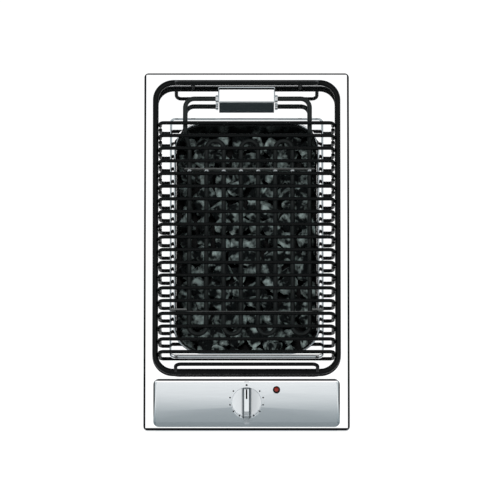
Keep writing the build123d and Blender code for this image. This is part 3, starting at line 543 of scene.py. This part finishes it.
def broken_rocks(tree, sizes):
    """Balls on a jittered grid, each cut by random flat breaks and kept inside the tray."""
    half_width = TRAY_HALF_WIDTH - ROCK_GAP
    half_length = TRAY_HALF_LENGTH - ROCK_GAP
    grid_sizes = {
        "Size X": 2 * half_width * (1 - 1 / ROCK_COLUMNS),
        "Size Y": 2 * half_length * (1 - 1 / ROCK_ROWS),
        "Vertices X": ROCK_COLUMNS,
        "Vertices Y": ROCK_ROWS,
    }
    spots = add(tree, "GeometryNodeMeshGrid", grid_sizes).outputs[0]
    spans = {2: sizes["Least Reach"], 3: sizes["Most Reach"], 8: ROCK_SEED}
    reach = add(tree, "FunctionNodeRandomValue", spans, data_type="FLOAT").outputs[1]
    # A rock's top lies a random sink below the top of the pile
    spans = {2: 0.0, 3: sizes["Sink"], 8: ROCK_SEED + 1}
    sink = add(tree, "FunctionNodeRandomValue", spans, data_type="FLOAT").outputs[1]
    drop = add(tree, "ShaderNodeMath", {0: reach, 1: sink}, operation="ADD").outputs[0]
    top = {0: TRAY_FLOOR + ROCK_PILE, 1: drop}
    rise = add(tree, "ShaderNodeMath", top, operation="SUBTRACT").outputs[0]
    spans = {0: (-1.0, -1.0, 0.0), 1: (1.0, 1.0, 0.0), 8: ROCK_SEED + 2}
    shift = add(tree, "FunctionNodeRandomValue", spans, data_type="FLOAT_VECTOR").outputs[0]
    shift = {0: shift, "Scale": sizes["Jitter"]}
    shift = add(tree, "ShaderNodeVectorMath", shift, operation="SCALE").outputs[0]
    base = add(tree, "ShaderNodeCombineXYZ", {"Y": TRAY_CENTER_Y, "Z": rise}).outputs[0]
    offset = add(tree, "ShaderNodeVectorMath", {0: shift, 1: base}, operation="ADD").outputs[0]
    spots = add(tree, "GeometryNodeSetPosition", {"Geometry": spots, "Offset": offset}).outputs[0]
    # What every rock has to know once it is real mesh
    number = add(tree, "GeometryNodeInputIndex").outputs[0]
    middle = add(tree, "GeometryNodeInputPosition").outputs[0]
    for name, kind, value in (
        ("rock", "INT", number),
        ("reach", "FLOAT", reach),
        ("middle", "FLOAT_VECTOR", middle),
    ):
        stored = {"Geometry": spots, "Name": name, "Value": value}
        spots = add(tree, "GeometryNodeStoreNamedAttribute", stored, data_type=kind).outputs[0]
    ball = add(tree, "GeometryNodeMeshIcoSphere", {"Radius": 0.01, "Subdivisions": 4}).outputs[0]
    heap = add(tree, "GeometryNodeInstanceOnPoints", {"Points": spots, "Instance": ball})
    heap = add(tree, "GeometryNodeRealizeInstances", {"Geometry": heap.outputs[0]}).outputs[0]
    known = {}
    for name, kind in (("rock", "INT"), ("reach", "FLOAT"), ("middle", "FLOAT_VECTOR")):
        stored = add(tree, "GeometryNodeInputNamedAttribute", {"Name": name}, data_type=kind)
        known[name] = stored.outputs[0]
    place = add(tree, "GeometryNodeInputPosition").outputs[0]
    ray = {0: place, 1: known["middle"]}
    ray = add(tree, "ShaderNodeVectorMath", ray, operation="SUBTRACT").outputs[0]
    ray = add(tree, "ShaderNodeVectorMath", {0: ray}, operation="NORMALIZE").outputs[0]
    length = 1.0
    for number in range(ROCK_BREAKS):
        spans = {0: (-1, -1, -1), 1: (1, 1, 1), 7: known["rock"], 8: FACING_SEED + number}
        facing = add(tree, "FunctionNodeRandomValue", spans, data_type="FLOAT_VECTOR").outputs[0]
        facing = add(tree, "ShaderNodeVectorMath", {0: facing}, operation="NORMALIZE").outputs[0]
        turned = {0: ray, 1: facing}
        turned = add(tree, "ShaderNodeVectorMath", turned, operation="DOT_PRODUCT").outputs[1]
        turned = {0: turned, 1: LEAST_FACING}
        turned = add(tree, "ShaderNodeMath", turned, operation="MAXIMUM").outputs[0]
        spans = {2: BREAK_DEPTHS[0], 3: BREAK_DEPTHS[1], 7: known["rock"], 8: DEPTH_SEED + number}
        depth = add(tree, "FunctionNodeRandomValue", spans, data_type="FLOAT").outputs[1]
        cut = add(tree, "ShaderNodeMath", {0: depth, 1: turned}, operation="DIVIDE").outputs[0]
        length = add(tree, "ShaderNodeMath", {0: length, 1: cut}, operation="MINIMUM").outputs[0]
    span = {0: length, 1: known["reach"]}
    span = add(tree, "ShaderNodeMath", span, operation="MULTIPLY").outputs[0]
    out = add(tree, "ShaderNodeVectorMath", {0: ray, "Scale": span}, operation="SCALE").outputs[0]
    spot = {0: known["middle"], 1: out}
    spot = add(tree, "ShaderNodeVectorMath", spot, operation="ADD").outputs[0]
    for scale, height in ROCK_BUMPS:
        bumps = add(tree, "ShaderNodeTexNoise", {"Vector": spot, "Scale": scale}).outputs["Fac"]
        bumps = {"Value": bumps, "To Min": -height / 2, "To Max": height / 2}
        bumps = add(tree, "ShaderNodeMapRange", bumps).outputs[0]
        bumps = {0: ray, "Scale": bumps}
        bumps = add(tree, "ShaderNodeVectorMath", bumps, operation="SCALE").outputs[0]
        spot = {0: spot, 1: bumps}
        spot = add(tree, "ShaderNodeVectorMath", spot, operation="ADD").outputs[0]
    # Points past the tray's walls and round corners are pulled back, and lifted off its floor
    center = (0.0, TRAY_CENTER_Y, 0.0)
    local = {0: spot, 1: center}
    local = add(tree, "ShaderNodeVectorMath", local, operation="SUBTRACT").outputs[0]
    over = add(tree, "ShaderNodeVectorMath", {0: local}, operation="ABSOLUTE").outputs[0]
    straight = (TRAY_HALF_WIDTH - TRAY_CORNER, TRAY_HALF_LENGTH - TRAY_CORNER, 1.0)
    over = {0: over, 1: straight}
    over = add(tree, "ShaderNodeVectorMath", over, operation="SUBTRACT").outputs[0]
    least = {0: over, 1: (0.0, 0.0, 0.0)}
    over = add(tree, "ShaderNodeVectorMath", least, operation="MAXIMUM").outputs[0]
    past = add(tree, "ShaderNodeVectorMath", {0: over}, operation="LENGTH").outputs[1]
    share = {0: TRAY_CORNER - ROCK_GAP, 1: past}
    share = add(tree, "ShaderNodeMath", share, operation="DIVIDE").outputs[0]
    share = add(tree, "ShaderNodeMath", {0: 1.0, 1: share}, operation="SUBTRACT").outputs[0]
    share = add(tree, "ShaderNodeMath", {0: share, 1: 0.0}, operation="MAXIMUM").outputs[0]
    sides = add(tree, "ShaderNodeVectorMath", {0: local}, operation="SIGN").outputs[0]
    pull = add(tree, "ShaderNodeVectorMath", {0: over, 1: sides}, operation="MULTIPLY").outputs[0]
    pull = {0: pull, "Scale": share}
    pull = add(tree, "ShaderNodeVectorMath", pull, operation="SCALE").outputs[0]
    spot = add(tree, "ShaderNodeVectorMath", {0: spot, 1: pull}, operation="SUBTRACT").outputs[0]
    lowest = {0: spot, 1: (-1.0, -1.0, TRAY_FLOOR + ROCK_GAP / 2)}
    spot = add(tree, "ShaderNodeVectorMath", lowest, operation="MAXIMUM").outputs[0]
    heap = add(tree, "GeometryNodeSetPosition", {"Geometry": heap, "Position": spot}).outputs[0]
    # Broken faces show flat
    flat = {"Geometry": heap, "Shade Smooth": False}
    return add(tree, "GeometryNodeSetShadeSmooth", flat).outputs[0]


# Printed scale: one dot at the pointer's rest and ten round the knob
DOT_COUNT = 11
DOT_SIZES = {
    "Ring Radius": 0.0234,
    "Ring Centre": -0.2177,
    "First Dot": 0.0014,
    "Other Dots": 0.0011,
    "Thickness": 0.0004,
}
DOT_SIDES = 20
# The first step from the pointer's rest is longer than the others by the start
DOT_ANGLE_START = math.radians(25)
DOT_ANGLE_STEP = math.radians(26)


def scale_dots(tree, sizes):
    """Flat discs in a ring about the knob, lying on the dished panel."""
    number = add(tree, "GeometryNodeInputIndex").outputs[0]
    # Odd dots go clockwise and even ones the other way, a step apart
    half = add(tree, "ShaderNodeMath", {0: number, 1: 2.0}, operation="DIVIDE").outputs[0]
    step = add(tree, "ShaderNodeMath", {0: half}, operation="CEIL").outputs[0]
    odd = add(tree, "ShaderNodeMath", {0: number, 1: 2.0}, operation="MODULO").outputs[0]
    side = {"Value": odd, "To Min": -1.0, "To Max": 1.0}
    side = add(tree, "ShaderNodeMapRange", side).outputs[0]
    later = add(tree, "ShaderNodeMath", {0: step, 1: 1.0}, operation="MINIMUM").outputs[0]
    start = {0: later, 1: DOT_ANGLE_START}
    start = add(tree, "ShaderNodeMath", start, operation="MULTIPLY").outputs[0]
    turn = {0: step, 1: DOT_ANGLE_STEP, 2: start}
    turn = add(tree, "ShaderNodeMath", turn, operation="MULTIPLY_ADD").outputs[0]
    turn = add(tree, "ShaderNodeMath", {0: turn, 1: side}, operation="MULTIPLY").outputs[0]
    sine = add(tree, "ShaderNodeMath", {0: turn}, operation="SINE").outputs[0]
    cosine = add(tree, "ShaderNodeMath", {0: turn}, operation="COSINE").outputs[0]
    across = {0: sine, 1: sizes["Ring Radius"]}
    across = add(tree, "ShaderNodeMath", across, operation="MULTIPLY").outputs[0]
    along = {0: cosine, 1: sizes["Ring Radius"], 2: sizes["Ring Centre"]}
    along = add(tree, "ShaderNodeMath", along, operation="MULTIPLY_ADD").outputs[0]
    # The panel's floor rises with the square of the way from its rear edge
    share = {"Value": along, "From Min": PANEL_REAR_Y, "From Max": PANEL_REAR_Y - PANEL_LENGTH}
    share = add(tree, "ShaderNodeMapRange", share).outputs[0]
    share = add(tree, "ShaderNodeMath", {0: share, 1: 2.0}, operation="POWER").outputs[0]
    floor = {0: share, 1: PANEL_REAR_DEPTH - PANEL_FRONT_DEPTH, 2: PLATE_TOP - PANEL_REAR_DEPTH}
    floor = add(tree, "ShaderNodeMath", floor, operation="MULTIPLY_ADD").outputs[0]
    spot = {"X": across, "Y": along, "Z": floor}
    spot = add(tree, "ShaderNodeCombineXYZ", spot).outputs[0]
    spots = add(tree, "GeometryNodePoints", {"Count": DOT_COUNT, "Position": spot}).outputs[0]
    radius = {"Value": later, "To Min": sizes["First Dot"], "To Max": sizes["Other Dots"]}
    radius = add(tree, "ShaderNodeMapRange", radius).outputs[0]
    size = {"X": radius, "Y": radius, "Z": sizes["Thickness"]}
    size = add(tree, "ShaderNodeCombineXYZ", size).outputs[0]
    disc = {"Vertices": DOT_SIDES, "Radius": 1.0, "Depth": 1.0}
    disc = add(tree, "GeometryNodeMeshCylinder", disc).outputs[0]
    printed = {"Points": spots, "Instance": disc, "Scale": size}
    return add(tree, "GeometryNodeInstanceOnPoints", printed).outputs[0]


# Index line let into the ridge of the knob
LINE_REAR_Y = -0.2085
LINE_LENGTH = 0.0140
LINE_WIDTH = 0.0022
LINE_DEPTH = 0.0006
LINE_PROUD = 0.00006
LINE_ROUND = 0.00005


def add_index_line():
    """A filled groove, as a bar with rounded edges sunk in the ridge."""
    work = bmesh.new()
    bmesh.ops.create_cube(work, size=1.0)
    middle = Vector((0.0, LINE_REAR_Y - LINE_LENGTH / 2, KNOB_TOP + LINE_PROUD - LINE_DEPTH / 2))
    size = Matrix.Diagonal((LINE_WIDTH, LINE_LENGTH, LINE_DEPTH, 1.0))
    bmesh.ops.transform(work, matrix=Matrix.Translation(middle) @ size, verts=work.verts)
    edges = work.edges
    bmesh.ops.bevel(work, geom=edges, offset=LINE_ROUND, segments=2, profile=0.5, affect="EDGES")
    mesh = bpy.data.meshes.new("index_line")
    work.to_mesh(mesh)
    work.free()
    mesh.materials.append(FINISHES["scale_ink"])
    place_piece("index_line", mesh, "knob")


add_camera()
add_world()
add_softbox()
add_floor()
dress_cad_nodes()
heap = grow("rocks", broken_rocks, ROCK_SIZES, FINISHES["lava"])
rocks = place_piece("rocks", heap, "hob")
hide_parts("lava_stones")
dots = grow("scale_dots", scale_dots, DOT_SIZES, FINISHES["scale_ink"])
place_piece("scale_dots", dots, "hob")
add_index_line()
